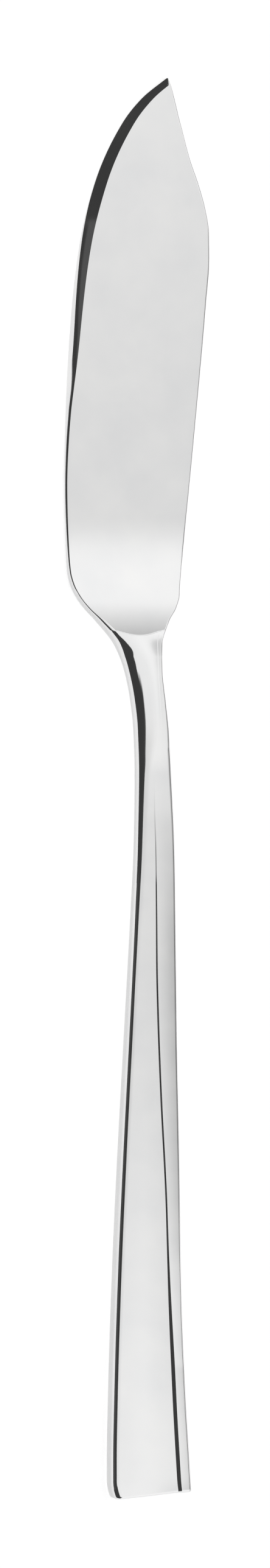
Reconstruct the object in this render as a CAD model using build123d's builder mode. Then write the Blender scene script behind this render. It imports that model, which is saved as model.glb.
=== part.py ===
from build123d import *
import os
from bisect import bisect_right
from math import acos, cos, degrees, hypot, radians, sin, sqrt, tan

# A one-piece table fish knife lying on its flat back, tip towards +Y, front face up.
# Millimetres. Stations run along the knife from the butt (0) to the tip (LENGTH).

# Lengths along the knife
LENGTH = 210.0
BLADE_LENGTH = 82.5
NECK_LENGTH = 20.5

# Widths across the knife, and how far their middles sit beside the handle's axis
BUTT_WIDTH = 12.15
BUTT_OFFSET = -0.22
WAIST_WIDTH = 5.1
WAIST_OFFSET = 0.48
ROOT_WIDTH = 5.82
ROOT_OFFSET = -1.44
BLADE_WIDTH = 20.2

# Thicknesses, all measured up from the flat back
BUTT_THICKNESS = 4.25
WAIST_THICKNESS = 2.7
ROOT_THICKNESS = 3.6
BLADE_THICKNESS = 1.8
TIP_THICKNESS = 1.45
EDGE_THICKNESS = 0.9

# Left side: the rounded shoulder of handle and neck, the bevel and low facet of the spine
SHOULDER = 1.1
NECK_SHOULDER = 3.2
NECK_SHOULDER_DROP = 1.9
ROOT_LEAN = 0.1
SPINE_BEVEL = 1.64
BEVEL_ROUND = 0.1
SPINE_BREAK = 0.33
SPINE_FACET = 0.5
SPINE_FOOT = 0.2
RIDGE_DEPTH = 0.65
FOOT_BREAK = 0.3

# Right side: the step beside the main facet, the ledge below it and the thinned cutting edge
STEP = 0.84
STEP_THIN = 0.3
STEP_ANGLE = 25.0
LEDGE_SLOPE = 0.13
NECK_SLOPE = 0.02
ROOT_SLOPE = 0.06
LEDGE_ROUND = 0.4
NECK_ROUND = 0.5
EDGE_ROUND = 0.3
BACK_BEVEL = 6.0

# Top and butt: height of the main facet's crown, and tilt of the top at its sides
BUTT_CROWN = 0.13
NECK_CROWN = 0.03
ROOT_CROWN = 0.12
BUTT_TILT = 0.06
ROOT_TILT = 0.12
WHEEL_RADIUS = 90.0
BUTT_SLANT = 5.4
BUTT_ROUND = 0.3

# Stock that the two trimming cuts take off the lofted form
GRIND_STOCK = 0.1
FOOT_STOCK = 0.05

# Most of the width that each edge feature may take where the knife narrows to its tip
SHOULDER_SHARE = 0.82
STEP_SHARE = 0.3
BEVEL_SHARE = 0.45
FOOT_SHARE = 0.2

# Share of the neck's length at which the blade begins, where the neck starts to flare
FLARE_START = 0.84

# Places along the knife
handle_end = LENGTH - BLADE_LENGTH - NECK_LENGTH
root = LENGTH - BLADE_LENGTH
grind_depth = ROOT_THICKNESS - BLADE_THICKNESS
run_out = sqrt(2 * WHEEL_RADIUS * grind_depth - grind_depth**2)
grind_start = root + run_out


def handle(share):
    return share * handle_end


def neck(share):
    return handle_end + share * NECK_LENGTH


def blade(share):
    return root + share * BLADE_LENGTH


blade_seam = neck(FLARE_START)


def smooth(points):
    """A monotone cubic curve through (station, value) points, which never swings past them."""
    stations = [station for station, value in points]
    values = [value for station, value in points]
    last = len(points) - 1
    step = [stations[i + 1] - stations[i] for i in range(last)]
    rise = [(values[i + 1] - values[i]) / step[i] for i in range(last)]
    slope = [rise[0]] + [0.0] * (last - 1) + [rise[-1]]
    for i in range(1, last):
        if rise[i - 1] * rise[i] > 0:
            before = step[i - 1] + 2 * step[i]
            after = 2 * step[i - 1] + step[i]
            slope[i] = (before + after) / (before / rise[i - 1] + after / rise[i])

    def value_at(station):
        i = min(max(bisect_right(stations, station) - 1, 0), last - 1)
        t = (station - stations[i]) / step[i]
        start_pull = t * (1 - t) ** 2 * step[i] * slope[i]
        finish_pull = t**2 * (t - 1) * step[i] * slope[i + 1]
        blend = t**2 * (3 - 2 * t)
        return values[i] + blend * (values[i + 1] - values[i]) + start_pull + finish_pull

    return value_at


def ground(station):
    """Height of the ground blade face: flat, with a wheel-shaped run-out at the root."""
    if station < grind_start:
        reach = grind_start - station
        return BLADE_THICKNESS + WHEEL_RADIUS - sqrt(WHEEL_RADIUS**2 - reach**2)
    along = (station - grind_start) / (LENGTH - grind_start)
    return BLADE_THICKNESS + along * (TIP_THICKNESS - BLADE_THICKNESS)


# Plan outlines. Each pair is a share of the region's length and of its change in width.
HANDLE_LEFT = [
    (0, 1), (0.05, 1), (0.14, 0.96), (0.31, 0.82), (0.47, 0.63), (0.64, 0.39), (0.81, 0.15), (0.9, 0.04),
]
NECK_LEFT = [(0, 0), (0.32, 0.09), (0.54, 0.31), (0.76, 0.73)]
BLADE_LEFT = [
    (-0.017, -0.256), (0.0267, -0.399), (0.0485, -0.483), (0.0703, -0.55), (0.092, -0.594), (0.114, -0.616),
    (0.158, -0.628), (0.267, -0.6395), (0.376, -0.626), (0.484, -0.604), (0.6, -0.568), (0.702, -0.514),
    (0.811, -0.403), (0.92, -0.194), (0.9636, -0.052), (1, 0.126),
]
HANDLE_RIGHT = [
    (0, 1), (0.05, 0.905), (0.14, 0.705), (0.3, 0.46), (0.47, 0.375), (0.64, 0.27), (0.81, 0.222),
    (0.9, 0.175),
]
NECK_RIGHT = [(0, 0), (0.14, 0.11), (0.32, 0.28), (0.5, 0.56), (0.76, 0.97), (0.84, 1)]
BLADE_RIGHT = [
    (-0.017, 0.075), (0.0267, 0.131), (0.0485, 0.183), (0.0703, 0.212), (0.092, 0.2195), (0.158, 0.248),
    (0.376, 0.3375), (0.593, 0.4205), (0.68, 0.448), (0.7236, 0.446), (0.767, 0.4177), (0.811, 0.3667),
    (0.855, 0.303), (0.92, 0.231), (0.9855, 0.1612), (1, 0.137),
]


def outline(butt, waist, narrow, handle_shape, neck_shape, blade_shape):
    """One side of the plan: from the butt to the waist, on to the narrow root, then along the blade."""
    return smooth(
        [(handle(u), waist + v * (butt - waist)) for u, v in handle_shape]
        + [(neck(u), waist + v * (narrow - waist)) for u, v in neck_shape]
        + [(blade(u), v * BLADE_WIDTH) for u, v in blade_shape]
    )


left_edge = outline(
    BUTT_OFFSET - BUTT_WIDTH / 2, WAIST_OFFSET - WAIST_WIDTH / 2, ROOT_OFFSET - ROOT_WIDTH / 2,
    HANDLE_LEFT, NECK_LEFT, BLADE_LEFT,
)
right_edge = outline(
    BUTT_OFFSET + BUTT_WIDTH / 2, WAIST_OFFSET + WAIST_WIDTH / 2, ROOT_OFFSET + ROOT_WIDTH / 2,
    HANDLE_RIGHT, NECK_RIGHT, BLADE_RIGHT,
)

# Crest of the top: it thins from butt to waist, and stock stands above the ground face of the blade
HANDLE_TOP = [(0, 1), (0.4, 0.79), (0.65, 0.5), (0.88, 0.1), (0.95, 0)]
NECK_TOP = [(0, 0.05), (0.25, 0.2), (0.54, 0.42), (0.8, 0.7), (1, 1)]
ROOT_STOCK = [(0.1, 0.28), (0.21, 0.21), (0.43, 0.18), (0.68, 0.12)]
crest = smooth(
    [(handle(u), WAIST_THICKNESS + v * (BUTT_THICKNESS - WAIST_THICKNESS)) for u, v in HANDLE_TOP]
    + [(neck(u), WAIST_THICKNESS + v * (ROOT_THICKNESS - WAIST_THICKNESS)) for u, v in NECK_TOP]
    + [(root + u * run_out, ground(root + u * run_out) + v * grind_depth) for u, v in ROOT_STOCK]
    + [(s, ground(s) + GRIND_STOCK) for s in (grind_start, blade(0.4), blade(0.7), LENGTH)]
)
crown = smooth(
    [(0, BUTT_CROWN), (handle(0.4), 0.5 * BUTT_CROWN), (handle(0.6), NECK_CROWN), (handle_end, NECK_CROWN)]
    + [(neck(0.7), 0.5 * ROOT_CROWN), (root, ROOT_CROWN), (blade(0.02), 0.8 * ROOT_CROWN)]
    + [(blade(0.07), NECK_CROWN), (grind_start, 0), (LENGTH, 0)]
)
side_tilt = smooth(
    [(0, BUTT_TILT), (handle(0.4), 0.6 * BUTT_TILT), (handle(0.6), 0.2 * BUTT_TILT), (handle_end, 0)]
    + [(neck(0.3), 0.1 * ROOT_TILT), (neck(0.55), 0.35 * ROOT_TILT), (neck(0.8), 0.75 * ROOT_TILT)]
    + [(root, ROOT_TILT), (blade(0.02), 0.9 * ROOT_TILT), (blade(0.045), 0), (LENGTH, 0)]
)

# Left shoulder: a rounded edge on handle and neck, which turns into the flat bevel of the spine
BEVEL_RUN = [
    (0.35, 0.25), (0.4, 0.35), (0.44, 0.5), (0.484, 0.665), (0.53, 0.78), (0.7, 0.93), (0.8, 1), (1, 1),
]
BEVEL_DROP = [
    (0.35, 0.27), (0.4, 0.36), (0.44, 0.48), (0.53, 0.56), (0.7, 0.83), (0.8, 1), (0.88, 0.97), (0.92, 0.9),
    (0.96, 0.8), (0.985, 0.55), (1, 0.12),
]
shoulder_run = smooth(
    [(0, SHOULDER), (handle(0.7), SHOULDER), (handle(0.88), 1.35 * SHOULDER), (handle_end, 1.8 * SHOULDER)]
    + [(neck(0.32), 0.95 * NECK_SHOULDER), (neck(0.72), NECK_SHOULDER), (neck(0.85), 0.9 * NECK_SHOULDER)]
    + [(root, 0.4 * NECK_SHOULDER)]
    + [(blade(0.027), 0.27 * NECK_SHOULDER), (blade(0.0485), 1.4 * SPINE_BREAK), (blade(0.08), SPINE_BREAK)]
    + [(blade(0.27), SPINE_BREAK)]
    + [(blade(u), v * SPINE_BEVEL) for u, v in BEVEL_RUN]
)
bevel_drop = TIP_THICKNESS - SPINE_FOOT
shoulder_drop = smooth(
    [(0, SHOULDER), (handle(0.85), SHOULDER), (handle_end, 1.3 * SHOULDER)]
    + [(neck(u), NECK_SHOULDER_DROP) for u in (0.5, 0.85)]
    + [(root, 0.7 * NECK_SHOULDER_DROP), (blade(0.027), 0.42 * NECK_SHOULDER_DROP)]
    + [(blade(0.0485), 1.4 * SPINE_BREAK), (blade(0.08), SPINE_BREAK), (blade(0.27), SPINE_BREAK)]
    + [(blade(u), v * bevel_drop) for u, v in BEVEL_DROP]
)
shoulder_round = smooth([(0, 1), (root, 1), (blade(0.16), BEVEL_ROUND), (LENGTH, BEVEL_ROUND)])

# Left flank: upright on the handle, drafted at the root, a ridge on the thin spine, a low facet beyond it
FACET_SHARE = [
    (0.27, 0.05), (0.4, 0.32), (0.48, 0.86), (0.53, 1), (0.6, 0.8), (0.7, 0.4), (0.79, 0.1), (1, 0.05),
]
flank_lean = smooth(
    [(0, 0), (neck(0.75), 0), (blade(0.03), ROOT_LEAN), (blade(0.13), ROOT_LEAN / 2)]
    + [(blade(u), v * SPINE_FACET) for u, v in FACET_SHARE]
)
ridge = BLADE_THICKNESS - RIDGE_DEPTH
flank_foot = smooth(
    [(0, FOOT_BREAK), (root, FOOT_BREAK), (blade(0.16), ridge), (blade(0.27), ridge)]
    + [(blade(0.43), 2 * SPINE_FOOT), (blade(0.53), SPINE_FOOT), (blade(0.88), SPINE_FOOT)]
    + [(blade(0.96), 1.8 * SPINE_FOOT), (blade(0.985), 3.3 * SPINE_FOOT), (LENGTH, 5.9 * SPINE_FOOT)]
)
foot_inset = smooth(
    [(0, FOOT_BREAK), (root, FOOT_BREAK), (blade(0.16), 2 * FOOT_BREAK), (blade(0.27), 2 * FOOT_BREAK)]
    + [(blade(0.53), SPINE_FOOT), (LENGTH, SPINE_FOOT)]
)

# Step down from the main facet to the ledge: broad at the butt, a line along the handle, gone at the neck
step_place = smooth(
    [(0, 0.8), (handle(0.22), 0.77), (handle(0.39), 0.72), (handle(0.56), 0.59), (handle(0.72), 0.455)]
    + [(handle(0.81), 0.385), (handle(0.9), 0.28), (handle_end, 0.16), (neck(0.5), 0.4), (root, 0.85)]
    + [(blade(0.06), 0.9), (blade(0.12), 0.93), (blade(0.3), 0.96), (blade(0.9), 0.9), (LENGTH, 0.4)]
)
step_run = smooth(
    [(0, STEP), (handle(0.05), 0.98 * STEP), (handle(0.14), 0.85 * STEP), (handle(0.22), 0.7 * STEP)]
    + [(handle(0.39), STEP_THIN), (handle(0.65), STEP_THIN), (handle_end, STEP_THIN / 2)]
    + [(LENGTH, STEP_THIN / 2)]
)
full_slope = tan(radians(STEP_ANGLE))
step_slope = smooth([(0, full_slope), (handle(0.8), full_slope), (handle_end, 0), (LENGTH, 0)])

# Right edge: the ledge falls to a rounded edge above an upright wall, the blade is thinned from behind
ledge_slope = smooth(
    [(0, LEDGE_SLOPE), (handle(0.75), LEDGE_SLOPE), (neck(0.1), NECK_SLOPE), (neck(0.5), NECK_SLOPE)]
    + [(root, ROOT_SLOPE), (blade(0.02), 0.8 * ROOT_SLOPE), (blade(0.045), 0), (LENGTH, 0)]
)
ledge_round = smooth(
    [(0, LEDGE_ROUND), (handle(0.85), LEDGE_ROUND), (neck(0.2), NECK_ROUND), (neck(0.7), NECK_ROUND)]
    + [(root, LEDGE_ROUND), (blade(0.03), EDGE_ROUND), (LENGTH, EDGE_ROUND)]
)
wall_foot = smooth(
    [(0, FOOT_BREAK), (root, FOOT_BREAK), (blade(0.12), BLADE_THICKNESS - EDGE_THICKNESS)]
    + [(blade(0.5), BLADE_THICKNESS - EDGE_THICKNESS), (LENGTH, TIP_THICKNESS - EDGE_THICKNESS)]
)
back_run = smooth([(0, FOOT_BREAK), (root, FOOT_BREAK), (blade(0.15), BACK_BEVEL), (LENGTH, BACK_BEVEL)])


def between(start, end, share):
    return (start[0] + share * (end[0] - start[0]), start[1] + share * (end[1] - start[1]))


def towards(start, end, distance):
    return between(start, end, distance / hypot(end[0] - start[0], end[1] - start[1]))


def section(station):
    """The cross-section's edges in order, each a line's two points or a curve's two ends and pull point."""
    left = left_edge(station)
    right = right_edge(station)
    width = right - left
    shoulder_x = left + min(shoulder_run(station), SHOULDER_SHARE * width)
    step_x = shoulder_x + step_place(station) * (right - shoulder_x)
    tilt = side_tilt(station)
    top = crest(station) - crown(station)
    flank_low = (left, flank_foot(station))
    finished = min(top, ground(station)) if station > root else top
    flank_high = (left + flank_lean(station), finished - shoulder_drop(station))
    shoulder_top = (shoulder_x, top)
    shoulder_middle = between(flank_high, shoulder_top, 0.5)
    shoulder_corner = (flank_high[0], top - tilt * (shoulder_x - flank_high[0]))
    shoulder_pull = between(shoulder_middle, shoulder_corner, shoulder_round(station))
    step_top = (step_x, top)
    top_pull = ((shoulder_x + step_x) / 2, top + 2 * crown(station))
    run = min(step_run(station), STEP_SHARE * (right - step_x))
    step_foot = (step_x + run, top - run * step_slope(station))
    edge_round = min(ledge_round(station), STEP_SHARE * (right - step_foot[0]))
    ledge_half = (right - edge_round - step_foot[0]) / 2
    ledge_pull = (step_foot[0] + ledge_half, step_foot[1] - tilt * ledge_half)
    ledge_end = (right - edge_round, ledge_pull[1] - ledge_slope(station) * ledge_half)
    edge_pull = (right, ledge_end[1] - ledge_slope(station) * edge_round)
    wall_high = (right, edge_pull[1] - edge_round)
    wall_low = (right, wall_foot(station))
    heel = (right - min(back_run(station), BEVEL_SHARE * width), 0)
    toe = (left + min(foot_inset(station), FOOT_SHARE * width), 0)
    heel_stock = between(wall_low, heel, 1 + FOOT_STOCK / wall_low[1])
    toe_stock = between(flank_low, toe, 1 + FOOT_STOCK / flank_low[1])
    return [
        (heel_stock, toe_stock),
        (toe_stock, flank_low),
        (flank_low, flank_high),
        (flank_high, shoulder_pull, shoulder_top),
        (shoulder_top, top_pull, step_top),
        (step_top, step_foot),
        (step_foot, ledge_pull, ledge_end),
        (ledge_end, edge_pull, wall_high),
        (wall_high, wall_low),
        (wall_low, heel_stock),
    ]


STATIONS = (
    [handle(u) for u in (0, 0.08, 0.2, 0.38, 0.56, 0.74, 0.88)]
    + [neck(u) for u in (0, 0.25, 0.48, 0.68, 0.85)]
    + [blade(u) for u in (0, 0.024, 0.048, 0.073, 0.097, 0.127, 0.164, 0.22, 0.29, 0.36, 0.43, 0.485)]
    + [blade(u) for u in (0.54, 0.61, 0.685, 0.757, 0.818, 0.873, 0.921, 0.958, 0.982, 0.993, 1)]
)
centre_x = (min(left_edge(s) for s in STATIONS) + max(right_edge(s) for s in STATIONS)) / 2


def section_plane(station):
    """Cross-section plane at a station. The butt is cut on the slant, lowest at the left flank."""
    slant = radians(BUTT_SLANT) if station == 0 else 0
    lift = BUTT_WIDTH / 2 * sin(slant)
    return Plane(
        origin=(-centre_x, station + lift - LENGTH / 2, 0),
        x_dir=(cos(slant), sin(slant), 0),
        z_dir=(sin(slant), -cos(slant), 0),
    )


def drawn_in(edges, inset):
    """The butt's edges, drawn in by the same distance on every side."""
    middle = (left_edge(0) + right_edge(0)) / 2
    across = 1 - 2 * inset / BUTT_WIDTH
    upward = 1 - 2 * inset / BUTT_THICKNESS
    return [[(middle + (x - middle) * across, inset + z * upward) for x, z in points] for points in edges]


def draw(edges):
    for points in edges:
        if len(points) == 2:
            Line(*points)
        else:
            Bezier(*points)


def seam_plane(station):
    return Plane(origin=(0, station - LENGTH / 2, 0), z_dir=(0, 1, 0))


# Angles through which the butt's rounded edge turns
BUTT_TURNS = (0, 30, 60, 90)

# The whole forging: lofted through its sections, trimmed to its flat back, ground to its blade face
wheel_sweep = degrees(acos(1 - 2 * grind_depth / WHEEL_RADIUS))
with BuildPart() as forging:
    for s in STATIONS:
        with BuildSketch(section_plane(s).offset(-BUTT_ROUND if s == 0 else 0)):
            with BuildLine():
                draw(section(s))
            make_face()
    loft()
    for turn in BUTT_TURNS:
        with BuildSketch(section_plane(0).offset(-BUTT_ROUND * (1 - sin(radians(turn))))):
            with BuildLine():
                draw(drawn_in(section(0), BUTT_ROUND * (1 - cos(radians(turn)))))
            make_face()
    loft()
    split(bisect_by=Plane.XY, keep=Keep.TOP)
    with BuildSketch(Plane.YZ.offset(-LENGTH / 2)):
        with BuildLine():
            face_start = (grind_start - LENGTH / 2, BLADE_THICKNESS)
            face_finish = (LENGTH / 2, TIP_THICKNESS)
            wheel_axis = (face_start[0], face_start[1] + WHEEL_RADIUS)
            wheel = CenterArc(wheel_axis, WHEEL_RADIUS, start_angle=270, arc_size=-wheel_sweep)
            past_tip = towards(face_finish, face_start, -BLADE_THICKNESS)
            Polyline(face_start, past_tip, (past_tip[0], (wheel @ 1).Y), wheel @ 1)
        make_face()
    extrude(amount=LENGTH, mode=Mode.SUBTRACT)

# The handle, from the butt to where its facets run out
with BuildPart() as handle_bar:
    add(forging.part)
    split(bisect_by=seam_plane(handle_end), keep=Keep.BOTTOM)

# The round neck
with BuildPart() as neck_bar:
    add(forging.part)
    split(bisect_by=seam_plane(handle_end), keep=Keep.TOP)
    split(bisect_by=seam_plane(blade_seam), keep=Keep.BOTTOM)

# The blade, from the flare of the neck to the tip
with BuildPart() as blade_plate:
    add(forging.part)
    split(bisect_by=seam_plane(blade_seam), keep=Keep.TOP)

handle_bar.part.label = "handle"
neck_bar.part.label = "neck"
blade_plate.part.label = "blade"
os.makedirs("parts", exist_ok=True)
export_step(handle_bar.part, "parts/handle.step")
export_step(neck_bar.part, "parts/neck.step")
export_step(blade_plate.part, "parts/blade.step")
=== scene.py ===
from bisect import bisect_right
from math import cos, inf, radians, sin, sqrt, tan

import bpy
import numpy as np
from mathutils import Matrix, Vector


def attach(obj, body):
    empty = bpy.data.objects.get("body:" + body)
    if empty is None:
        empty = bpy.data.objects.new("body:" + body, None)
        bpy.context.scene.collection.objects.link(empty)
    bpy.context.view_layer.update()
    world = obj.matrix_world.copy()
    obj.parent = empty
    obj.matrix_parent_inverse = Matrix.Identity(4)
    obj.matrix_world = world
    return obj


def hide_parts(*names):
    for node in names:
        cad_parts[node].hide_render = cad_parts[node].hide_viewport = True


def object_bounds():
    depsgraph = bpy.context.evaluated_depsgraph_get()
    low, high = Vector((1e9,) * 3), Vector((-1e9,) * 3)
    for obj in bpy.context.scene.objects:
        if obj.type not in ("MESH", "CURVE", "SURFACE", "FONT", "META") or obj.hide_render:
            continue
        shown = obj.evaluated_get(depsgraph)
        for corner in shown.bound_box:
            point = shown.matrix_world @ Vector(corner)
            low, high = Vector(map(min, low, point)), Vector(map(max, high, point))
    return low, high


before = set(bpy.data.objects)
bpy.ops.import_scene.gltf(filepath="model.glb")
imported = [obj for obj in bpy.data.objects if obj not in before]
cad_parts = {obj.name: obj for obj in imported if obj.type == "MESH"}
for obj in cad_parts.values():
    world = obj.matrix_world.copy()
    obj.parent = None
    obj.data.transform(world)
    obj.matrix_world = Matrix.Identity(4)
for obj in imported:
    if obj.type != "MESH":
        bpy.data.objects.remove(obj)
cad_low, cad_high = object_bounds()

# A mirror-polished fish knife lying on its flat back, tip towards +Y, front face up.
# The shape is worked out in millimetres, and turned into metres where the mesh is made.
MM = 0.001

# Lengths along the knife
LENGTH = 210.0
BLADE_LENGTH = 82.5
NECK_LENGTH = 20.5

# Widths across the knife, and how far their middles sit beside the handle's axis
BUTT_WIDTH = 12.15
BUTT_OFFSET = -0.22
WAIST_WIDTH = 5.1
WAIST_OFFSET = 0.48
ROOT_WIDTH = 5.82
ROOT_OFFSET = -1.44
BLADE_WIDTH = 20.2

# Thicknesses, all measured up from the flat back
BUTT_THICKNESS = 4.25
WAIST_THICKNESS = 2.7
ROOT_THICKNESS = 3.6
BLADE_THICKNESS = 1.8
TIP_THICKNESS = 1.45
EDGE_THICKNESS = 0.9

# Left side: the rounded shoulder of handle and neck, the bevel and low facet of the spine
SHOULDER = 1.1
NECK_SHOULDER = 3.2
NECK_SHOULDER_DROP = 1.9
ROOT_LEAN = 0.1
SPINE_BEVEL = 1.64
BEVEL_ROUND = 0.1
SPINE_BREAK = 0.33
SPINE_FACET = 0.5
SPINE_FOOT = 0.2
RIDGE_DEPTH = 0.65
FOOT_BREAK = 0.3

# Right side: the step beside the main facet, the ledge below it and the thinned cutting edge
STEP = 0.84
STEP_THIN = 0.3
STEP_ANGLE = 25.0
LEDGE_SLOPE = 0.13
NECK_SLOPE = 0.02
ROOT_SLOPE = 0.06
LEDGE_ROUND = 0.4
NECK_ROUND = 0.5
EDGE_ROUND = 0.3
BACK_BEVEL = 6.0

# Top and butt: tilt of the crowned top at its sides, the wheel's run-out, the butt's slant and rounded edge
BUTT_TILT = 0.06
ROOT_TILT = 0.12
WHEEL_RADIUS = 90.0
BUTT_SLANT = 5.4
BUTT_ROUND = 0.3

# Stock that stands above the blade face until it is ground
GRIND_STOCK = 0.1

# Most of the width that each edge feature may take where the knife narrows to its tip
SHOULDER_SHARE = 0.82
STEP_SHARE = 0.3
BEVEL_SHARE = 0.45
FOOT_SHARE = 0.2

# Share of the neck's length at which the blade begins, where the neck starts to flare
FLARE_START = 0.84

# Places along the knife
handle_end = LENGTH - BLADE_LENGTH - NECK_LENGTH
root = LENGTH - BLADE_LENGTH
grind_depth = ROOT_THICKNESS - BLADE_THICKNESS
run_out = sqrt(2 * WHEEL_RADIUS * grind_depth - grind_depth**2)
grind_start = root + run_out


def handle(share):
    return share * handle_end


def neck(share):
    return handle_end + share * NECK_LENGTH


def blade(share):
    return root + share * BLADE_LENGTH


blade_seam = neck(FLARE_START)


def smooth(points):
    """A monotone cubic curve through (station, value) points, which never swings past them."""
    stations = [station for station, value in points]
    values = [value for station, value in points]
    last = len(points) - 1
    step = [stations[i + 1] - stations[i] for i in range(last)]
    rise = [(values[i + 1] - values[i]) / step[i] for i in range(last)]
    slope = [rise[0]] + [0.0] * (last - 1) + [rise[-1]]
    for i in range(1, last):
        if rise[i - 1] * rise[i] > 0:
            before = step[i - 1] + 2 * step[i]
            after = 2 * step[i - 1] + step[i]
            slope[i] = (before + after) / (before / rise[i - 1] + after / rise[i])

    def value_at(station):
        i = min(max(bisect_right(stations, station) - 1, 0), last - 1)
        t = (station - stations[i]) / step[i]
        start_pull = t * (1 - t) ** 2 * step[i] * slope[i]
        finish_pull = t**2 * (t - 1) * step[i] * slope[i + 1]
        blend = t**2 * (3 - 2 * t)
        return values[i] + blend * (values[i + 1] - values[i]) + start_pull + finish_pull

    return value_at


def ground(station):
    """Height of the ground blade face: flat, with a wheel-shaped run-out at the root."""
    if station < grind_start:
        reach = grind_start - station
        return BLADE_THICKNESS + WHEEL_RADIUS - sqrt(WHEEL_RADIUS**2 - reach**2)
    along = (station - grind_start) / (LENGTH - grind_start)
    return BLADE_THICKNESS + along * (TIP_THICKNESS - BLADE_THICKNESS)


# Plan outlines. Each pair is a share of the region's length and of its change in width.
HANDLE_LEFT = [
    (0, 1), (0.05, 1), (0.14, 0.96), (0.31, 0.82), (0.47, 0.63), (0.64, 0.39), (0.81, 0.15), (0.9, 0.04),
]
NECK_LEFT = [(0, 0), (0.32, 0.09), (0.54, 0.31), (0.76, 0.73)]
BLADE_LEFT = [
    (-0.017, -0.256), (0.0267, -0.399), (0.0485, -0.483), (0.0703, -0.55), (0.092, -0.594), (0.114, -0.616),
    (0.158, -0.628), (0.267, -0.6395), (0.376, -0.626), (0.484, -0.604), (0.6, -0.568), (0.702, -0.514),
    (0.811, -0.403), (0.92, -0.194), (0.9636, -0.052), (1, 0.126),
]
HANDLE_RIGHT = [
    (0, 1), (0.05, 0.905), (0.14, 0.705), (0.3, 0.46), (0.47, 0.375), (0.64, 0.27), (0.81, 0.222),
    (0.9, 0.175),
]
NECK_RIGHT = [(0, 0), (0.14, 0.11), (0.32, 0.28), (0.5, 0.56), (0.76, 0.97), (0.84, 1)]
BLADE_RIGHT = [
    (-0.017, 0.075), (0.0267, 0.131), (0.0485, 0.183), (0.0703, 0.212), (0.092, 0.2195), (0.158, 0.248),
    (0.376, 0.3375), (0.593, 0.4205), (0.68, 0.448), (0.7236, 0.446), (0.767, 0.4177), (0.811, 0.3667),
    (0.855, 0.303), (0.92, 0.231), (0.9855, 0.1612), (1, 0.137),
]


def outline(butt, waist, narrow, handle_shape, neck_shape, blade_shape):
    """One side of the plan: from the butt to the waist, on to the narrow root, then along the blade."""
    return smooth(
        [(handle(u), waist + v * (butt - waist)) for u, v in handle_shape]
        + [(neck(u), waist + v * (narrow - waist)) for u, v in neck_shape]
        + [(blade(u), v * BLADE_WIDTH) for u, v in blade_shape]
    )


left_edge = outline(
    BUTT_OFFSET - BUTT_WIDTH / 2, WAIST_OFFSET - WAIST_WIDTH / 2, ROOT_OFFSET - ROOT_WIDTH / 2,
    HANDLE_LEFT, NECK_LEFT, BLADE_LEFT,
)
right_edge = outline(
    BUTT_OFFSET + BUTT_WIDTH / 2, WAIST_OFFSET + WAIST_WIDTH / 2, ROOT_OFFSET + ROOT_WIDTH / 2,
    HANDLE_RIGHT, NECK_RIGHT, BLADE_RIGHT,
)

# Crest of the top: it thins from butt to waist, and stock stands above the ground face of the blade
HANDLE_TOP = [(0, 1), (0.4, 0.79), (0.65, 0.5), (0.88, 0.1), (0.95, 0)]
NECK_TOP = [(0, 0.05), (0.25, 0.2), (0.54, 0.42), (0.8, 0.7), (1, 1)]
ROOT_STOCK = [(0.1, 0.28), (0.21, 0.21), (0.43, 0.18), (0.68, 0.12)]
crest = smooth(
    [(handle(u), WAIST_THICKNESS + v * (BUTT_THICKNESS - WAIST_THICKNESS)) for u, v in HANDLE_TOP]
    + [(neck(u), WAIST_THICKNESS + v * (ROOT_THICKNESS - WAIST_THICKNESS)) for u, v in NECK_TOP]
    + [(root + u * run_out, ground(root + u * run_out) + v * grind_depth) for u, v in ROOT_STOCK]
    + [(s, ground(s) + GRIND_STOCK) for s in (grind_start, blade(0.4), blade(0.7), LENGTH)]
)

# Tilt of the top at its two sides, which sets how high its crown stands
side_tilt = smooth(
    [(0, BUTT_TILT), (handle(0.4), 0.6 * BUTT_TILT), (handle(0.6), 0.2 * BUTT_TILT), (handle_end, 0)]
    + [(neck(0.3), 0.1 * ROOT_TILT), (neck(0.55), 0.35 * ROOT_TILT), (neck(0.8), 0.75 * ROOT_TILT)]
    + [(root, ROOT_TILT), (blade(0.02), 0.9 * ROOT_TILT), (blade(0.045), 0), (LENGTH, 0)]
)

# Left shoulder: a rounded edge on handle and neck, which turns into the flat bevel of the spine
BEVEL_RUN = [
    (0.35, 0.25), (0.4, 0.35), (0.44, 0.5), (0.484, 0.665), (0.53, 0.78), (0.7, 0.93), (0.8, 1), (1, 1),
]
BEVEL_DROP = [
    (0.35, 0.27), (0.4, 0.36), (0.44, 0.48), (0.53, 0.56), (0.7, 0.83), (0.8, 1), (0.88, 0.97), (0.92, 0.9),
    (0.96, 0.8), (0.985, 0.55), (1, 0.12),
]
shoulder_run = smooth(
    [(0, SHOULDER), (handle(0.7), SHOULDER), (handle(0.88), 1.35 * SHOULDER), (handle_end, 1.8 * SHOULDER)]
    + [(neck(0.32), 0.95 * NECK_SHOULDER), (neck(0.72), NECK_SHOULDER), (neck(0.85), 0.9 * NECK_SHOULDER)]
    + [(root, 0.4 * NECK_SHOULDER)]
    + [(blade(0.027), 0.27 * NECK_SHOULDER), (blade(0.0485), 1.4 * SPINE_BREAK), (blade(0.08), SPINE_BREAK)]
    + [(blade(0.27), SPINE_BREAK)]
    + [(blade(u), v * SPINE_BEVEL) for u, v in BEVEL_RUN]
)
bevel_drop = TIP_THICKNESS - SPINE_FOOT
shoulder_drop = smooth(
    [(0, SHOULDER), (handle(0.85), SHOULDER), (handle_end, 1.3 * SHOULDER)]
    + [(neck(u), NECK_SHOULDER_DROP) for u in (0.5, 0.85)]
    + [(root, 0.7 * NECK_SHOULDER_DROP), (blade(0.027), 0.42 * NECK_SHOULDER_DROP)]
    + [(blade(0.0485), 1.4 * SPINE_BREAK), (blade(0.08), SPINE_BREAK), (blade(0.27), SPINE_BREAK)]
    + [(blade(u), v * bevel_drop) for u, v in BEVEL_DROP]
)
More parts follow.
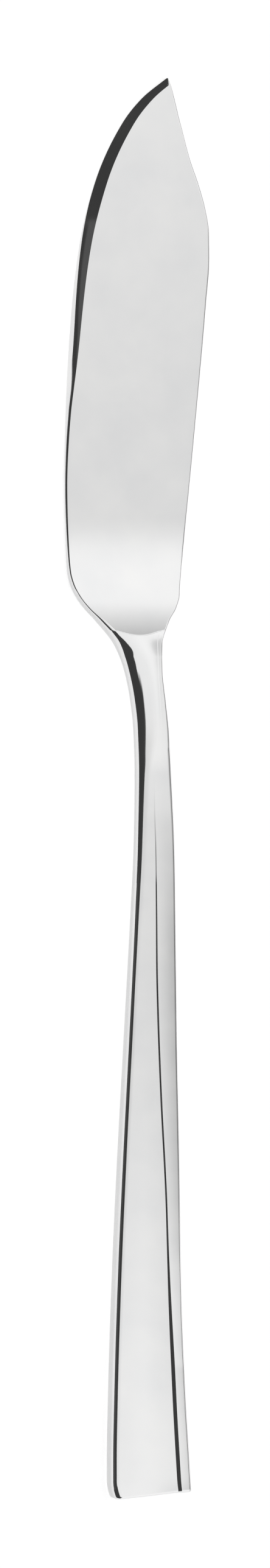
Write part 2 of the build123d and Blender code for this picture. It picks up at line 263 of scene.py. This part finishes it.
shoulder_round = smooth([(0, 1), (root, 1), (blade(0.16), BEVEL_ROUND), (LENGTH, BEVEL_ROUND)])

# Left flank: upright on the handle, drafted at the root, a ridge on the thin spine, a low facet beyond it
FACET_SHARE = [
    (0.27, 0.05), (0.4, 0.32), (0.48, 0.86), (0.53, 1), (0.6, 0.8), (0.7, 0.4), (0.79, 0.1), (1, 0.05),
]
flank_lean = smooth(
    [(0, 0), (neck(0.75), 0), (blade(0.03), ROOT_LEAN), (blade(0.13), ROOT_LEAN / 2)]
    + [(blade(u), v * SPINE_FACET) for u, v in FACET_SHARE]
)
ridge = BLADE_THICKNESS - RIDGE_DEPTH
flank_foot = smooth(
    [(0, FOOT_BREAK), (root, FOOT_BREAK), (blade(0.16), ridge), (blade(0.27), ridge)]
    + [(blade(0.43), 2 * SPINE_FOOT), (blade(0.53), SPINE_FOOT), (blade(0.88), SPINE_FOOT)]
    + [(blade(0.96), 1.8 * SPINE_FOOT), (blade(0.985), 3.3 * SPINE_FOOT), (LENGTH, 5.9 * SPINE_FOOT)]
)
foot_inset = smooth(
    [(0, FOOT_BREAK), (root, FOOT_BREAK), (blade(0.16), 2 * FOOT_BREAK), (blade(0.27), 2 * FOOT_BREAK)]
    + [(blade(0.53), SPINE_FOOT), (LENGTH, SPINE_FOOT)]
)

# Step down from the main facet to the ledge: broad at the butt, a line along the handle, gone at the neck
step_place = smooth(
    [(0, 0.8), (handle(0.22), 0.77), (handle(0.39), 0.72), (handle(0.56), 0.59), (handle(0.72), 0.455)]
    + [(handle(0.81), 0.385), (handle(0.9), 0.28), (handle_end, 0.16), (neck(0.5), 0.4), (root, 0.85)]
    + [(blade(0.06), 0.9), (blade(0.12), 0.93), (blade(0.3), 0.96), (blade(0.9), 0.9), (LENGTH, 0.4)]
)
step_run = smooth(
    [(0, STEP), (handle(0.05), 0.98 * STEP), (handle(0.14), 0.85 * STEP), (handle(0.22), 0.7 * STEP)]
    + [(handle(0.39), STEP_THIN), (handle(0.65), STEP_THIN), (handle_end, STEP_THIN / 2)]
    + [(LENGTH, STEP_THIN / 2)]
)
full_slope = tan(radians(STEP_ANGLE))
step_slope = smooth([(0, full_slope), (handle(0.8), full_slope), (handle_end, 0), (LENGTH, 0)])

# Right edge: the ledge falls to a rounded edge above an upright wall, the blade is thinned from behind
ledge_slope = smooth(
    [(0, LEDGE_SLOPE), (handle(0.75), LEDGE_SLOPE), (neck(0.1), NECK_SLOPE), (neck(0.5), NECK_SLOPE)]
    + [(root, ROOT_SLOPE), (blade(0.02), 0.8 * ROOT_SLOPE), (blade(0.045), 0), (LENGTH, 0)]
)
ledge_round = smooth(
    [(0, LEDGE_ROUND), (handle(0.85), LEDGE_ROUND), (neck(0.2), NECK_ROUND), (neck(0.7), NECK_ROUND)]
    + [(root, LEDGE_ROUND), (blade(0.03), EDGE_ROUND), (LENGTH, EDGE_ROUND)]
)
wall_foot = smooth(
    [(0, FOOT_BREAK), (root, FOOT_BREAK), (blade(0.12), BLADE_THICKNESS - EDGE_THICKNESS)]
    + [(blade(0.5), BLADE_THICKNESS - EDGE_THICKNESS), (LENGTH, TIP_THICKNESS - EDGE_THICKNESS)]
)
back_run = smooth([(0, FOOT_BREAK), (root, FOOT_BREAK), (blade(0.15), BACK_BEVEL), (LENGTH, BACK_BEVEL)])


def between(start, end, share):
    """The point at a share of the way from start to end."""
    return (start[0] + share * (end[0] - start[0]), start[1] + share * (end[1] - start[1]))


# Butt in plan: the left flank tapers in towards it, both corners are rounded, the slant stops at the step
FLANK_TAPER = 0.6
TAPER_RUN = 2.8
LEFT_CORNER = 0.4
RIGHT_CORNER = 0.5
SLANT_RUN = 8.6

# Points along each strip of the cross-section
STRIP_POINTS = {
    "back": 10, "toe": 2, "flank": 6, "shoulder": 18, "facet": 16,
    "step": 3, "ledge": 12, "edge": 8, "wall": 3, "heel": 6,
}


def curve(points, count):
    """Points along a line or a quadratic curve, both ends included."""
    made = []
    for k in range(count + 1):
        t = k / count
        if len(points) == 2:
            made.append(between(points[0], points[1], t))
        else:
            first = between(points[0], points[1], t)
            made.append(between(first, between(points[1], points[2], t), t))
    return made


def end_inset(station, radius):
    """How far a rounded end draws the section in, close to the butt."""
    reach = max(radius - station, 0)
    return radius - sqrt(radius**2 - reach**2)


def strips(station):
    """The cross-section as strips of points, in order round the knife, with the blade face ground off."""
    left = left_edge(station)
    right = right_edge(station)
    width = right - left
    shoulder_x = left + min(shoulder_run(station), SHOULDER_SHARE * width)
    step_x = shoulder_x + step_place(station) * (right - shoulder_x)
    tilt = side_tilt(station)
    # A quadratic curve that leaves both its ends at the tilt rises by a quarter of tilt times width
    rise = tilt * (step_x - shoulder_x) / 4
    face = ground(station) if station > root else inf

    def ground_off(point):
        return (point[0], min(point[1], face))

    top = crest(station) - rise
    shoulder_top = ground_off((shoulder_x, top))
    flank_low = (left, flank_foot(station))
    flank_high = (left + flank_lean(station), shoulder_top[1] - shoulder_drop(station))
    shoulder_middle = between(flank_high, shoulder_top, 0.5)
    end_tilt = tilt if top < face else 0
    shoulder_corner = (flank_high[0], shoulder_top[1] - end_tilt * (shoulder_x - flank_high[0]))
    shoulder_pull = between(shoulder_middle, shoulder_corner, shoulder_round(station))
    step_top = (step_x, top)
    top_pull = ((shoulder_x + step_x) / 2, top + 2 * rise)
    run = min(step_run(station), STEP_SHARE * (right - step_x))
    step_foot = (step_x + run, top - run * step_slope(station))
    edge_round = min(ledge_round(station), STEP_SHARE * (right - step_foot[0]))
    ledge_half = (right - edge_round - step_foot[0]) / 2
    ledge_pull = (step_foot[0] + ledge_half, step_foot[1] - tilt * ledge_half)
    ledge_end = (right - edge_round, ledge_pull[1] - ledge_slope(station) * ledge_half)
    edge_start = ground_off(ledge_end)
    edge_pull = (right, edge_start[1] - ledge_slope(station) * edge_round)
    wall_high = (right, edge_pull[1] - edge_round)
    wall_low = (right, wall_foot(station))
    heel = (right - min(back_run(station), BEVEL_SHARE * width), 0)
    toe = (left + min(foot_inset(station), FOOT_SHARE * width), 0)

    def ground_curve(points, count):
        return [ground_off(point) for point in curve(points, count)]

    made = {
        "back": curve([heel, toe], STRIP_POINTS["back"]),
        "toe": curve([toe, flank_low], STRIP_POINTS["toe"]),
        "flank": curve([flank_low, flank_high], STRIP_POINTS["flank"]),
        "shoulder": curve([flank_high, shoulder_pull, shoulder_top], STRIP_POINTS["shoulder"]),
        "facet": ground_curve([(shoulder_x, top), top_pull, step_top], STRIP_POINTS["facet"]),
        "step": ground_curve([step_top, step_foot], STRIP_POINTS["step"]),
        "ledge": ground_curve([step_foot, ledge_pull, ledge_end], STRIP_POINTS["ledge"]),
        "edge": curve([edge_start, edge_pull, wall_high], STRIP_POINTS["edge"]),
        "wall": curve([wall_high, wall_low], STRIP_POINTS["wall"]),
        "heel": curve([wall_low, heel], STRIP_POINTS["heel"]),
    }
    draw_left = FLANK_TAPER * max(1 - station / TAPER_RUN, 0) ** 2 + end_inset(station, LEFT_CORNER)
    draw_right = end_inset(station, RIGHT_CORNER)
    draw_end = end_inset(station, BUTT_ROUND)
    across = 1 - (draw_left + draw_right) / width
    upward = 1 - 2 * draw_end / crest(station)
    slant = tan(radians(BUTT_SLANT)) * max(1 - station / SLANT_RUN, 0) ** 2
    lift = BUTT_WIDTH / 2 * slant
    placed = {}
    for name, points in made.items():
        placed[name] = []
        for x, z in points:
            x = left + draw_left + (x - left) * across
            placed[name].append((x, station + lift + min(x, step_x) * slant, draw_end + z * upward))
    return placed


def spread(start, end, step):
    """Stations from start up to end, not included, about a step apart."""
    count = max(round((end - start) / step), 1)
    return [start + (end - start) * k / count for k in range(count)]


# Stations of the mesh: close together at the rounded butt, the neck, the root and the tip.
# Each span runs from a start to an end at a spacing, in millimetres.
ROUND_STEPS = 10
TIP_RUN = 6
neck_approach = handle(0.85)
root_curve_end = blade(0.05)
tip_start = LENGTH - TIP_RUN
mesh_spans = [
    (RIGHT_CORNER, TAPER_RUN, 0.1),
    (TAPER_RUN, neck_approach, 0.5),
    (neck_approach, handle_end, 0.3),
    (handle_end, blade_seam, 0.2),
    (blade_seam, root_curve_end, 0.08),
    (root_curve_end, grind_start, 0.2),
    (grind_start, tip_start, 0.4),
    (tip_start, LENGTH, 0.1),
]
corner_angles = [radians(90 * k / ROUND_STEPS) for k in range(1, ROUND_STEPS)]
stations = sorted(
    [0]
    + [RIGHT_CORNER * (1 - cos(angle)) for angle in corner_angles]
    + [station for span in mesh_spans for station in spread(*span)]
    + [LENGTH]
)

# Least length that a normal is divided by
LEAST_NORMAL = 1e-12


def knife_surface():
    """Arrays of points and normals, one per strip, over all stations, in metres in the frame."""
    rows = [strips(s) for s in stations]
    points = {name: np.array([row[name] for row in rows]) for name in STRIP_POINTS}
    lowest_x = min(grid[:, :, 0].min() for grid in points.values())
    shift = np.array([cad_low.x / MM - lowest_x, -LENGTH / 2, 0])
    low = np.array(cad_low)
    high = np.array(cad_high)
    normals = {}
    for name, grid in points.items():
        grid = np.clip((grid + shift) * MM, low, high)
        along = np.gradient(grid, np.array(stations) * MM, axis=0)
        around = np.gradient(grid, axis=1)
        normal = np.cross(around, along)
        points[name] = grid
        normals[name] = normal / np.maximum(np.linalg.norm(normal, axis=2, keepdims=True), LEAST_NORMAL)
    return points, normals


surface_points, surface_normals = knife_surface()


def knife_piece(name, node, start, end):
    """A closed piece of the knife between two stations, with the surface's own normals."""
    first = min(range(len(stations)), key=lambda i: abs(stations[i] - start))
    last = min(range(len(stations)), key=lambda i: abs(stations[i] - end))
    rings = range(first, last + 1)
    ring = sum(STRIP_POINTS.values())
    verts = np.concatenate([surface_points[s][first:last + 1, :-1] for s in STRIP_POINTS], axis=1)
    faces = []
    loop_normals = []
    place = 0
    for strip, count in STRIP_POINTS.items():
        normal = surface_normals[strip]
        for i in rings[:-1]:
            base = (i - first) * ring
            for j in range(count):
                here = place + j
                beside = (here + 1) % ring
                faces.append((base + here, base + beside, base + ring + beside, base + ring + here))
                loop_normals += [normal[i, j], normal[i, j + 1], normal[i + 1, j + 1], normal[i + 1, j]]
        place += count
    top_ring = (last - first) * ring
    faces.append(tuple(reversed(range(ring))))
    loop_normals += [(0, -1, 0)] * ring
    faces.append(tuple(top_ring + j for j in range(ring)))
    loop_normals += [(0, 1, 0)] * ring

    mesh = bpy.data.meshes.new(name)
    mesh.from_pydata(verts.reshape(-1, 3).tolist(), [], faces)
    mesh.polygons.foreach_set("use_smooth", [True] * len(faces))
    mesh.normals_split_custom_set([tuple(map(float, n)) for n in loop_normals])
    piece = bpy.data.objects.new(name, mesh)
    bpy.context.scene.collection.objects.link(piece)
    mesh.materials.append(polished_steel)
    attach(piece, "root")
    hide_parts(node)


# Steel: tint and roughness follow a faint cloud between two of its levels, fine lines and wider waves run
# along the knife, with their depths in metres
CLOUD_RANGE = (0.3, 0.7)
STEEL_TINTS = [(0.755, 0.757, 0.76, 1), (0.795, 0.794, 0.79, 1)]
STEEL_ROUGHNESS = (0.05, 0.1)
GRAZING_TINT = (0.8, 0.8, 0.8, 1)
CLOUD_SCALE = 160.0
CLOUD_DETAIL = 3.0
LINES_SCALE = (5000, 70, 5000)
LINES_DETAIL = 3.0
LINES_DEPTH = 0.8e-6
WAVES_SCALE = (900, 25, 900)
WAVES_DETAIL = 2.0
WAVES_DEPTH = 1.5e-6


def feed(tree, socket, value):
    """Set a shader socket to a value, or link it where the value is another socket."""
    if isinstance(value, bpy.types.NodeSocket):
        tree.links.new(value, socket)
    else:
        socket.default_value = value


def add_node(tree, kind, **settings):
    """A shader node with its sockets fed by name."""
    node = tree.nodes.new(kind)
    for name, value in settings.items():
        feed(tree, node.inputs[name.replace("_", " ")], value)
    return node


def add_math(tree, operation, first, second):
    """A socket with the result of a sum or product of two values."""
    node = tree.nodes.new("ShaderNodeMath")
    node.operation = operation
    feed(tree, node.inputs[0], first)
    feed(tree, node.inputs[1], second)
    return node.outputs["Value"]


def make_polished_steel():
    """Mirror-polished steel: fine polishing lines and wider waves along the knife, and faint cloudy wear."""
    material = bpy.data.materials.new("polished steel")
    material.use_nodes = True
    tree = material.node_tree
    shader = tree.nodes["Principled BSDF"]
    shader.inputs["Metallic"].default_value = 1.0
    shader.inputs["Specular Tint"].default_value = GRAZING_TINT
    place = tree.nodes.new("ShaderNodeTexCoord").outputs["Object"]

    def streaks(scale, detail):
        stretched = add_node(tree, "ShaderNodeMapping", Vector=place, Scale=scale).outputs["Vector"]
        noise = add_node(tree, "ShaderNodeTexNoise", Vector=stretched, Scale=1.0, Detail=detail)
        return noise.outputs["Fac"]

    lines = streaks(LINES_SCALE, LINES_DETAIL)
    waves = streaks(WAVES_SCALE, WAVES_DETAIL)
    cloud_node = add_node(
        tree, "ShaderNodeTexNoise", Vector=place, Scale=CLOUD_SCALE, Detail=CLOUD_DETAIL
    )
    cloud = cloud_node.outputs["Fac"]

    rough = add_node(
        tree, "ShaderNodeMapRange", Value=cloud, From_Min=CLOUD_RANGE[0], From_Max=CLOUD_RANGE[1],
        To_Min=STEEL_ROUGHNESS[0], To_Max=STEEL_ROUGHNESS[1],
    )
    tree.links.new(rough.outputs["Result"], shader.inputs["Roughness"])
    tint = add_node(tree, "ShaderNodeValToRGB", Fac=cloud)
    for element, level, colour in zip(tint.color_ramp.elements, CLOUD_RANGE, STEEL_TINTS):
        element.position = level
        element.color = colour
    tree.links.new(tint.outputs["Color"], shader.inputs["Base Color"])

    wavy = add_node(tree, "ShaderNodeBump", Strength=1.0, Distance=WAVES_DEPTH, Height=waves)
    lined = add_node(
        tree, "ShaderNodeBump", Strength=1.0, Distance=LINES_DEPTH, Height=lines,
        Normal=wavy.outputs["Normal"],
    )
    tree.links.new(lined.outputs["Normal"], shader.inputs["Normal"])
    return material


polished_steel = make_polished_steel()
knife_piece("knife_handle", "handle", 0, handle_end)
knife_piece("knife_neck", "neck", handle_end, blade_seam)
knife_piece("knife_blade", "blade", blade_seam, LENGTH)


# Studio: a pale floor, a soft lamp overhead and a light tent with dark panels, seen by reflections alone
FLOOR_SIZE = 60.0
FLOOR_GAP = 0.00005
FLOOR_COLOUR = (0.9, 0.9, 0.9, 1)
FLOOR_GLOW = 0.56
LAMP_POWER = 9.0
LAMP_SIZE = 1.6
LAMP_HEIGHT = 1.6
WORLD_FILL = 0.25
TENT_RADIUS = 25.0
TENT_ZENITH_STEP = 0.5
TENT_AZIMUTH_STEP = 2.0

# Tent brightness by the angle of a direction across the knife, in degrees: brightest near the camera
TENT_STRENGTH = 1.15
TENT_ACROSS = [(-90, 0.8), (0, 0.92), (12, 1), (20, 0.85), (40, 0.4), (90, 0.35)]

# Along the knife the tent has a dimmer patch overhead and a grey band towards the tip, in degrees
OVERHEAD_DIM = 0.22
OVERHEAD_CENTRE = 2
OVERHEAD_SPREAD = 5
FRONT_DIM = 0.45
FRONT_BAND = (21, 60, 6)

# Where the brightness across evens out, towards the tip, and on the right towards the butt: the start and
# the run of each change, in degrees
TIP_FADE = (5, 4)
BUTT_FADE = (-3.2, -1.2)
RIGHT_FADE = (9, 3)

# Panels of the tent: start, end and soft border of the zenith angle and then of the azimuth, in degrees.
# The right panel's azimuth is counted to both sides of +X.
PANEL_LEVEL = 0.05
STRIP_LEVEL = 0.1
LEFT_PANEL = [(21, 89, 3), (155, 206, 8)]
LEFT_STRIP = [(55, 69, 4), (145, 215, 20)]
RIGHT_PANEL = [(54, 72, 4), (-40, 40, 12)]

# Dark cards on the left: the bevel mirrors one at the tip, the shoulder mirrors those at root and butt.
# Each is a patch of a dome round a station: its radius in metres, its top's zenith, its ends' azimuths.
CARD_FOOT = 88
CARD_STEPS = 40
CARDS = [
    ("tip card", 200, 0.06, 28, (98, 172)),
    ("root card", 129, 0.04, 33, (196, 247)),
    ("butt card", 2, 0.03, 21, (196, 262)),
]


def seen_rays(tree):
    """A socket that is 1 for camera, glossy and transmission rays and 0 for all others."""
    path = tree.nodes.new("ShaderNodeLightPath").outputs
    mirrored = add_math(tree, "ADD", path["Is Camera Ray"], path["Is Glossy Ray"])
    seen = add_math(tree, "ADD", mirrored, path["Is Transmission Ray"])
    seen.node.use_clamp = True
    return seen


def make_floor():
    """A wide pale floor just under the knife, which glows a little where it is seen."""
    half = FLOOR_SIZE / 2
    mesh = bpy.data.meshes.new("floor")
    corners = [(-half, -half), (half, -half), (half, half), (-half, half)]
    mesh.from_pydata([(x, y, -FLOOR_GAP) for x, y in corners], [], [(0, 1, 2, 3)])
    material = bpy.data.materials.new("pale floor")
    material.use_nodes = True
    tree = material.node_tree
    shader = tree.nodes["Principled BSDF"]
    shader.inputs["Base Color"].default_value = FLOOR_COLOUR
    shader.inputs["Roughness"].default_value = 1.0
    shader.inputs["Specular IOR Level"].default_value = 0.0
    shader.inputs["Emission Color"].default_value = (1, 1, 1, 1)
    glow = add_math(tree, "MULTIPLY", seen_rays(tree), FLOOR_GLOW)
    tree.links.new(glow, shader.inputs["Emission Strength"])
    mesh.materials.append(material)
    floor = bpy.data.objects.new("floor", mesh)
    bpy.context.scene.collection.objects.link(floor)


def make_lamp():
    """A soft square lamp overhead, which lights the floor and shows in nothing."""
    data = bpy.data.lights.new("softbox", "AREA")
    data.shape = "SQUARE"
    data.size = LAMP_SIZE
    data.energy = LAMP_POWER
    lamp = bpy.data.objects.new("softbox", data)
    lamp.location = (0, 0, LAMP_HEIGHT)
    lamp.visible_camera = False
    lamp.visible_glossy = False
    bpy.context.scene.collection.objects.link(lamp)


def make_world():
    """A white surround: plain white where it is seen, and a dim fill for everything else."""
    world = bpy.data.worlds.new("white studio")
    world.use_nodes = True
    tree = world.node_tree
    background = tree.nodes["Background"]
    background.inputs["Color"].default_value = (1, 1, 1, 1)
    level = add_node(tree, "ShaderNodeMapRange", Value=seen_rays(tree), To_Min=WORLD_FILL, To_Max=1.0)
    tree.links.new(level.outputs["Result"], background.inputs["Strength"])
    bpy.context.scene.world = world


def ramp(value, points):
    """Straight interpolation through (place, level) points."""
    return np.interp(value, [p for p, v in points], [v for p, v in points])


def band(value, start, end, soft):
    """1 between start and end, falling to 0 over a soft border."""
    return np.clip((value - start) / soft + 0.5, 0, 1) * np.clip((end - value) / soft + 0.5, 0, 1)


def fade(value, start, run):
    """0 up to start, rising to 1 over the run. A negative run goes the other way."""
    return np.clip((value - start) / run, 0, 1)


def cover(level, zenith, azimuth, panel, shade):
    """The brightness with a soft-edged panel of another brightness laid over it."""
    zenith_span, azimuth_span = panel
    share = band(zenith, *zenith_span) * band(azimuth, *azimuth_span)
    return level * (1 - share) + shade * share


def tent_level(zenith, azimuth):
    """Brightness of the tent in a direction: zenith angle, and azimuth from +X towards +Y, in degrees."""
    up = np.cos(np.radians(zenith))
    out = np.sin(np.radians(zenith))
    across = np.degrees(np.arctan2(out * np.cos(np.radians(azimuth)), up))
    along = np.degrees(np.arctan2(out * np.sin(np.radians(azimuth)), up))
    even = fade(along, *TIP_FADE) + fade(along, *BUTT_FADE) * fade(across, *RIGHT_FADE)
    overhead = OVERHEAD_DIM * np.exp(-(((along - OVERHEAD_CENTRE) / OVERHEAD_SPREAD) ** 2))
    lengthwise = 1 - overhead - FRONT_DIM * band(along, *FRONT_BAND)
    level = TENT_STRENGTH * lengthwise * (even + (1 - even) * ramp(across, TENT_ACROSS))
    turned = (azimuth + 360) % 360
    from_right = np.minimum(turned, 360 - turned)
    level = cover(level, zenith, turned, LEFT_PANEL, PANEL_LEVEL)
    level = cover(level, zenith, turned, LEFT_STRIP, STRIP_LEVEL)
    return cover(level, zenith, from_right, RIGHT_PANEL, PANEL_LEVEL)


def make_dome(name, centre, radius, zenith, azimuth, level):
    """A glowing patch of a dome, given by grids of angles and of levels. It shows in reflections alone."""
    out = np.sin(np.radians(zenith))
    x = out * np.cos(np.radians(azimuth))
    y = out * np.sin(np.radians(azimuth))
    verts = np.array(centre) + radius * np.stack([x, y, np.cos(np.radians(zenith))], axis=2)
    rows, turns = zenith.shape
    faces = []
    for i in range(rows - 1):
        for j in range(turns - 1):
            corner = i * turns + j
            faces.append((corner, corner + 1, corner + turns + 1, corner + turns))
    mesh = bpy.data.meshes.new(name)
    mesh.from_pydata(verts.reshape(-1, 3).tolist(), [], faces)
    store = mesh.attributes.new("level", "FLOAT", "POINT")
    store.data.foreach_set("value", level.reshape(-1).astype(np.float32))
    material = bpy.data.materials.new(name)
    material.use_nodes = True
    tree = material.node_tree
    tree.nodes.remove(tree.nodes["Principled BSDF"])
    glow = tree.nodes.new("ShaderNodeEmission")
    read = tree.nodes.new("ShaderNodeAttribute")
    read.attribute_name = "level"
    tree.links.new(read.outputs["Fac"], glow.inputs["Strength"])
    tree.links.new(glow.outputs["Emission"], tree.nodes["Material Output"].inputs["Surface"])
    mesh.materials.append(material)
    dome = bpy.data.objects.new(name, mesh)
    bpy.context.scene.collection.objects.link(dome)
    dome.visible_camera = False
    dome.visible_diffuse = False
    dome.visible_shadow = False


def make_tent():
    """The light tent: a wide dome over the knife."""
    zenith = np.arange(0, 90 + TENT_ZENITH_STEP, TENT_ZENITH_STEP)
    azimuth = np.arange(0, 360 + TENT_AZIMUTH_STEP, TENT_AZIMUTH_STEP)
    zenith, azimuth = np.meshgrid(zenith, azimuth, indexing="ij")
    make_dome("tent", (0, 0, 0), TENT_RADIUS, zenith, azimuth, tent_level(zenith, azimuth))


def make_card(name, station, radius, top, ends):
    """A dark card: a small patch of a dome round a station of the knife."""
    centre = (0, (station - LENGTH / 2) * MM, 0)
    zenith = np.linspace(top, CARD_FOOT, CARD_STEPS)
    azimuth = np.linspace(*ends, CARD_STEPS)
    zenith, azimuth = np.meshgrid(zenith, azimuth, indexing="ij")
    make_dome(name, centre, radius, zenith, azimuth, np.full(zenith.shape, PANEL_LEVEL))


make_floor()
make_lamp()
make_world()
make_tent()
for card in CARDS:
    make_card(*card)

# Camera at the photograph's angle: above the knife, rolled towards the left flank.
# The picture's middle is given across the view, along the knife and towards the camera, in millimetres.
PHOTO_HEIGHT = 2576
PHOTO_PIXELS_PER_MM = 11.12
CAMERA_ROLL = 12.5
CAMERA_LENS = 200.0
SENSOR = 36.0
PICTURE_ACROSS = -0.02
PICTURE_ALONG = 0.58
PICTURE_UP = 2.0


def make_camera():
    """The camera, as far off as its lens needs for the whole picture."""
    data = bpy.data.cameras.new("camera")
    data.lens = CAMERA_LENS
    data.sensor_width = SENSOR
    data.sensor_fit = "AUTO"
    camera = bpy.data.objects.new("camera", data)
    bpy.context.scene.collection.objects.link(camera)
    roll = radians(CAMERA_ROLL)
    frame_height = PHOTO_HEIGHT / PHOTO_PIXELS_PER_MM * MM
    distance = frame_height / 2 / (SENSOR / 2 / CAMERA_LENS)
    aim = Vector((-sin(roll), 0, cos(roll)))
    right = Vector((cos(roll), 0, sin(roll)))
    middle = right * PICTURE_ACROSS * MM + Vector((0, PICTURE_ALONG * MM, 0)) + aim * PICTURE_UP * MM
    camera.location = middle + aim * distance
    camera.rotation_euler = (0, -roll, 0)
    bpy.context.scene.camera = camera


make_camera()
bpy.context.scene.view_settings.view_transform = "Standard"
